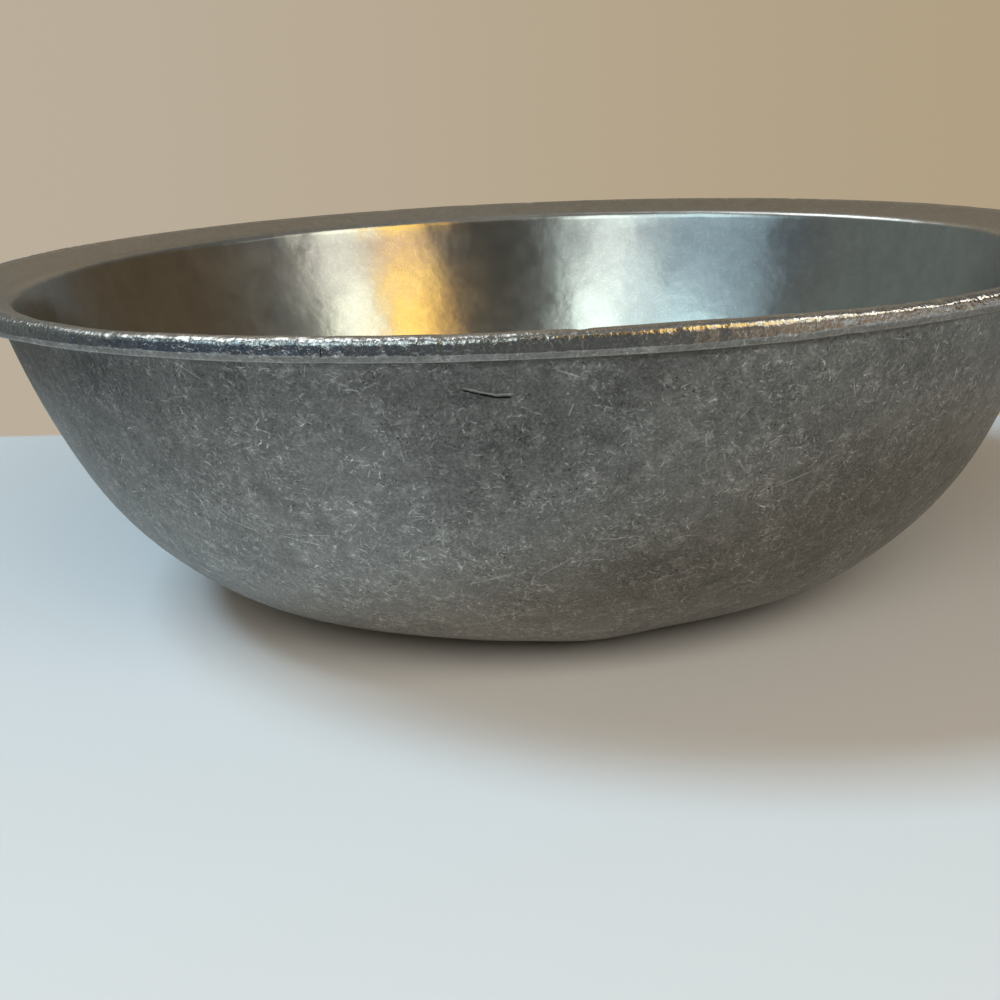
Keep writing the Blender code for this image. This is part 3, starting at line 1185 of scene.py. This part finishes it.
def add_lamp(scene, name, settings):
    """A flat lamp facing a point, sized by the angle that it fills there."""
    aim, (azimuth, elevation), distance, (width, height), colour, brightness, half_angle = settings
    lamp = bpy.data.lights.new(name, "AREA")
    lamp.shape = "RECTANGLE"
    lamp.size = 2.0 * distance * math.tan(math.radians(width / 2.0))
    lamp.size_y = 2.0 * distance * math.tan(math.radians(height / 2.0))
    lamp.color = colour
    lamp.spread = math.radians(2.0 * half_angle)
    lamp.energy = brightness * math.pi * lamp.size * lamp.size_y * grid_share(half_angle)
    box = bpy.data.objects.new(name, lamp)
    away = direction(azimuth, elevation)
    box.location = Vector(aim) + away * distance
    box.rotation_mode = "QUATERNION"
    box.rotation_quaternion = away.to_track_quat("Z", "Y")
    box.visible_camera = False
    scene.collection.objects.link(box)
    return box


def add_lamps(scene):
    """The rim's lamps shine on metal alone, and the others on the floor alone."""
    for name, settings in RIM_LAMPS.items():
        add_lamp(scene, name, settings).visible_diffuse = False
    for name, settings in FLOOR_LAMPS.items():
        add_lamp(scene, name, settings).visible_glossy = False


# How far to each side, as the sideways part of a unit vector, the backdrop's two colours blend.
BACKDROP_BLEND = 0.4


def add_world(scene, studio):
    """Even fill for the floor, and the pale backdrop for the camera."""
    world = bpy.data.worlds.new("backdrop")
    world.use_nodes = True
    nodes = Nodes(world.node_tree)
    rays = nodes.add("ShaderNodeLightPath").outputs
    seen = any_of(nodes, [rays[f"Is {kind} Ray"] for kind in ("Camera", "Glossy", "Transmission")])
    towards = nodes.add("ShaderNodeTexCoord").outputs["Generated"]
    side = nodes.add("ShaderNodeSeparateXYZ", {"Vector": towards}).outputs["X"]
    left, right, fill = (
        (*colour, 1.0) for colour in (studio.backdrop_left, studio.backdrop_right, studio.fill_colour)
    )
    backdrop = nodes.mix(nodes.step(side, -BACKDROP_BLEND, BACKDROP_BLEND), left, right)
    colour = nodes.mix(seen, fill, backdrop)
    nodes.feed(world.node_tree.nodes["Background"].inputs["Color"], colour)
    scene.world = world


FLOOR_HALF = 0.9
# The floor lies a hair under the foot, so that no two faces share a plane.
FLOOR_HEIGHT = -0.0001
FLOOR_SKEW = math.radians(4.5)
BACK_FADE = 0.006
FRONT_FADE = 0.030


def floor_mesh():
    """A flat square about the axis."""
    signs = ((-1, -1), (1, -1), (1, 1), (-1, 1))
    corners = [(x * FLOOR_HALF, y * FLOOR_HALF, FLOOR_HEIGHT) for x, y in signs]
    return new_mesh("floor", corners, [(0, 1, 2, 3)])


def floor_cloth(studio):
    """Pale cloth, which ends in straight lines behind the bowl, in front of it and at its left.

    It is clear from beneath, so that the foot can be seen.
    """
    material, nodes, shader = new_material("floor_cloth")
    shader.inputs["Base Color"].default_value = (*studio.floor_colour, 1.0)
    shader.inputs["Roughness"].default_value = 0.9
    shader.inputs["Specular IOR Level"].default_value = 0.1
    place = nodes.add("ShaderNodeTexCoord").outputs["Object"]
    across = (math.sin(FLOOR_SKEW), math.cos(FLOOR_SKEW), 0.0)
    depth = nodes.vector("DOT_PRODUCT", place, across)
    behind = nodes.step(depth, studio.floor_back, studio.floor_back + BACK_FADE)
    before = nodes.step(depth, -studio.floor_front, -studio.floor_front - FRONT_FADE)
    side = nodes.add("ShaderNodeSeparateXYZ", {"Vector": place}).outputs["X"]
    beside = nodes.step(side, -studio.floor_left, -studio.floor_left - FRONT_FADE)
    clear = nodes.add("ShaderNodeBsdfTransparent")
    beneath = nodes.add("ShaderNodeNewGeometry").outputs["Backfacing"]
    share = any_of(nodes, (behind, before, beside, beneath))
    mixed = nodes.add("ShaderNodeMixShader", {0: share, 1: shader.outputs[0], 2: clear.outputs[0]})
    nodes.feed(nodes.tree.nodes["Material Output"].inputs["Surface"], mixed.outputs[0])
    return material


ROOM_RADIUS = 30.0
ROOM_COLUMNS = 48
ROOM_ROWS = 24
# The last rows' rise and fall, in radians. A flat cap closes each end.
ROOM_RISE = 1.5


def room_mesh():
    """A ball round the set, its faces turned inwards.

    A point is the ball's radius times the cosines and sines of its turn and its rise.
    """
    turns = np.arange(ROOM_COLUMNS) * 2.0 * math.pi / ROOM_COLUMNS
    rises = np.linspace(-ROOM_RISE, ROOM_RISE, ROOM_ROWS)
    turns, rises = np.meshgrid(turns, rises)
    points = ROOM_RADIUS * np.stack((
        np.cos(rises) * np.cos(turns), np.cos(rises) * np.sin(turns), np.sin(rises),
    ), axis=-1).reshape(-1, 3)
    index = np.arange(ROOM_ROWS * ROOM_COLUMNS).reshape(ROOM_ROWS, ROOM_COLUMNS)
    beside = np.roll(index, -1, axis=1)
    quads = np.stack((index[:-1], index[1:], beside[1:], beside[:-1]), axis=-1).reshape(-1, 4)
    caps = [index[0].tolist(), index[-1][::-1].tolist()]
    return new_mesh("room", points.tolist(), quads.tolist() + caps)


# Soft round parts of the dim room: direction, the angles from its middle where it
# starts and ends to fade, and its colour.
ROOM_COLOUR = (0.150, 0.156, 0.152, 1.0)
ROOM_PARTS = (
    ((180.0, 34.0), 14.0, 33.0, (0.33, 0.285, 0.215)),
    ((114.0, 8.0), 18.0, 44.0, (0.125, 0.095, 0.060)),
    ((-58.0, -2.0), 16.0, 44.0, (0.085, 0.110, 0.150)),
    ((68.0, -15.0), 14.0, 43.0, (0.46, 0.36, 0.26)),
    ((-120.0, 18.0), 12.0, 40.0, (0.185, 0.212, 0.200)),
    ((8.0, 35.0), 6.0, 17.0, (0.070, 0.066, 0.056)),
    ((0.0, 90.0), 12.0, 40.0, (0.30, 0.29, 0.27)),
    ((180.0, -60.0), 20.0, 70.0, (0.34, 0.30, 0.24)),
)
# Window-like panes that the burnished inside reflects: azimuth and elevation of the
# middle, width and height, all in degrees, colour and brightness. An azimuth is the
# one at PANE_LEVEL; a pane's sides spread as they rise, by PANE_SPREAD for each radian.
PANES = (
    (56.5, 45.0, 17.0, 32.0, (0.98, 1.00, 0.82), 2.30),
    (63.4, 24.0, 20.7, 11.0, (1.00, 0.97, 0.86), 1.55),
    (38.5, 46.0, 14.0, 33.0, (1.00, 0.63, 0.14), 2.75),
    (41.5, 25.0, 17.0, 10.0, (1.00, 0.66, 0.40), 1.65),
    (28.0, 49.0, 7.0, 26.0, (1.00, 0.55, 0.18), 1.10),
    (-22.0, 50.0, 18.0, 32.0, (0.87, 1.00, 0.95), 2.45),
    (-27.8, 28.0, 12.0, 13.0, (0.92, 1.00, 0.98), 1.85),
    (-15.8, 28.0, 12.0, 13.0, (0.88, 1.00, 0.97), 0.85),
    (-37.0, 47.0, 12.0, 36.0, (0.80, 0.97, 1.00), 1.45),
    (-41.5, 24.0, 12.7, 10.0, (0.78, 0.94, 1.00), 0.95),
    (-55.0, 51.0, 24.0, 31.0, (0.68, 0.93, 1.00), 1.80),
    (-60.0, 28.0, 29.5, 15.0, (0.62, 0.84, 0.98), 0.82),
    (-75.0, 32.0, 13.0, 36.0, (0.60, 0.83, 0.96), 0.66),
)
PANE_SOFTNESS = 2.5
PANE_LEVEL = math.radians(35.0)
PANE_SPREAD = 0.69


def room_surface():
    """Dim room with bright panes, seen only in reflections."""
    material, nodes, _ = new_material("room")
    towards = nodes.vector("NORMALIZE", nodes.add("ShaderNodeTexCoord").outputs["Object"])
    colour = ROOM_COLOUR
    for (azimuth, elevation), middle, outer, part in ROOM_PARTS:
        facing = nodes.vector("DOT_PRODUCT", towards, tuple(direction(azimuth, elevation)))
        share = nodes.step(facing, math.cos(math.radians(outer)), math.cos(math.radians(middle)))
        colour = nodes.mix(share, colour, (*part, 1.0))

    axes = nodes.add("ShaderNodeSeparateXYZ", {"Vector": towards}).outputs
    azimuth_here = nodes.math("ARCTAN2", axes["X"], nodes.times(axes["Y"], -1.0))
    elevation_here = nodes.math("ARCSINE", axes["Z"])
    spread_here = nodes.scaled(elevation_here, PANE_SPREAD, 1.0 - PANE_LEVEL * PANE_SPREAD)
    azimuth_here = nodes.math("DIVIDE", azimuth_here, spread_here)
    soft = math.radians(PANE_SOFTNESS)
    for azimuth, elevation, width, height, tint, brightness in PANES:
        inside = []
        for here, middle, full in ((azimuth_here, azimuth, width), (elevation_here, elevation, height)):
            apart = nodes.math("ABSOLUTE", nodes.math("SUBTRACT", here, math.radians(middle)))
            half = math.radians(full / 2.0)
            inside.append(nodes.step(apart, half + soft, half - soft))
        colour = nodes.mix(nodes.times(*inside), colour, (*(brightness * part for part in tint), 1.0))
    glow = nodes.add("ShaderNodeEmission", {"Color": colour, "Strength": 1.0})
    nodes.feed(nodes.tree.nodes["Material Output"].inputs["Surface"], glow.outputs[0])
    material.cycles.emission_sampling = "NONE"
    return material


class BOWL_OT_stage(bpy.types.Operator):
    """Set the floor, the backdrop, the lamps and the camera."""

    bl_idname = "bowl.stage"
    bl_label = "Studio"

    def execute(self, context):
        scene = context.scene
        studio = scene.bowl_studio
        floor = bpy.data.objects.new("floor", floor_mesh())
        floor.data.materials.append(floor_cloth(studio))
        room = bpy.data.objects.new("room", room_mesh())
        room.data.materials.append(room_surface())
        for ray in ("camera", "diffuse", "transmission", "shadow"):
            setattr(room, f"visible_{ray}", False)
        for item in (floor, room):
            scene.collection.objects.link(item)
        add_world(scene, studio)
        add_lamps(scene)
        add_camera(scene)
        scene.view_settings.view_transform = "Standard"
        return {"FINISHED"}


class BOWL_PT_panel(bpy.types.Panel):
    """The bowl's operators and settings."""

    bl_idname = "BOWL_PT_panel"
    bl_label = "Cast bowl"
    bl_space_type = "VIEW_3D"
    bl_region_type = "UI"
    bl_category = "Bowl"

    def draw(self, context):
        scene = context.scene
        for operator in OPERATORS:
            self.layout.operator(operator.bl_idname)
        for settings in (scene.bowl_sizes, scene.bowl_wear, scene.bowl_finish, scene.bowl_studio):
            for name in type(settings).__annotations__:
                self.layout.prop(settings, name)


OPERATORS = (BOWL_OT_casting, BOWL_OT_finish, BOWL_OT_stage)
SETTINGS = {
    "bowl_sizes": BowlSizes,
    "bowl_wear": BowlWear,
    "bowl_finish": BowlFinish,
    "bowl_studio": BowlStudio,
}


def register():
    for kind in (*SETTINGS.values(), *OPERATORS, BOWL_PT_panel):
        bpy.utils.register_class(kind)
    for name, kind in SETTINGS.items():
        setattr(bpy.types.Scene, name, bpy.props.PointerProperty(type=kind))


def unregister():
    for name in SETTINGS:
        delattr(bpy.types.Scene, name)
    for kind in (BOWL_PT_panel, *reversed(OPERATORS), *reversed(list(SETTINGS.values()))):
        bpy.utils.unregister_class(kind)


def main():
    register()
    bpy.ops.bowl.casting()
    bpy.ops.bowl.finish()
    bpy.ops.bowl.stage()


if __name__ == "__main__":
    main()
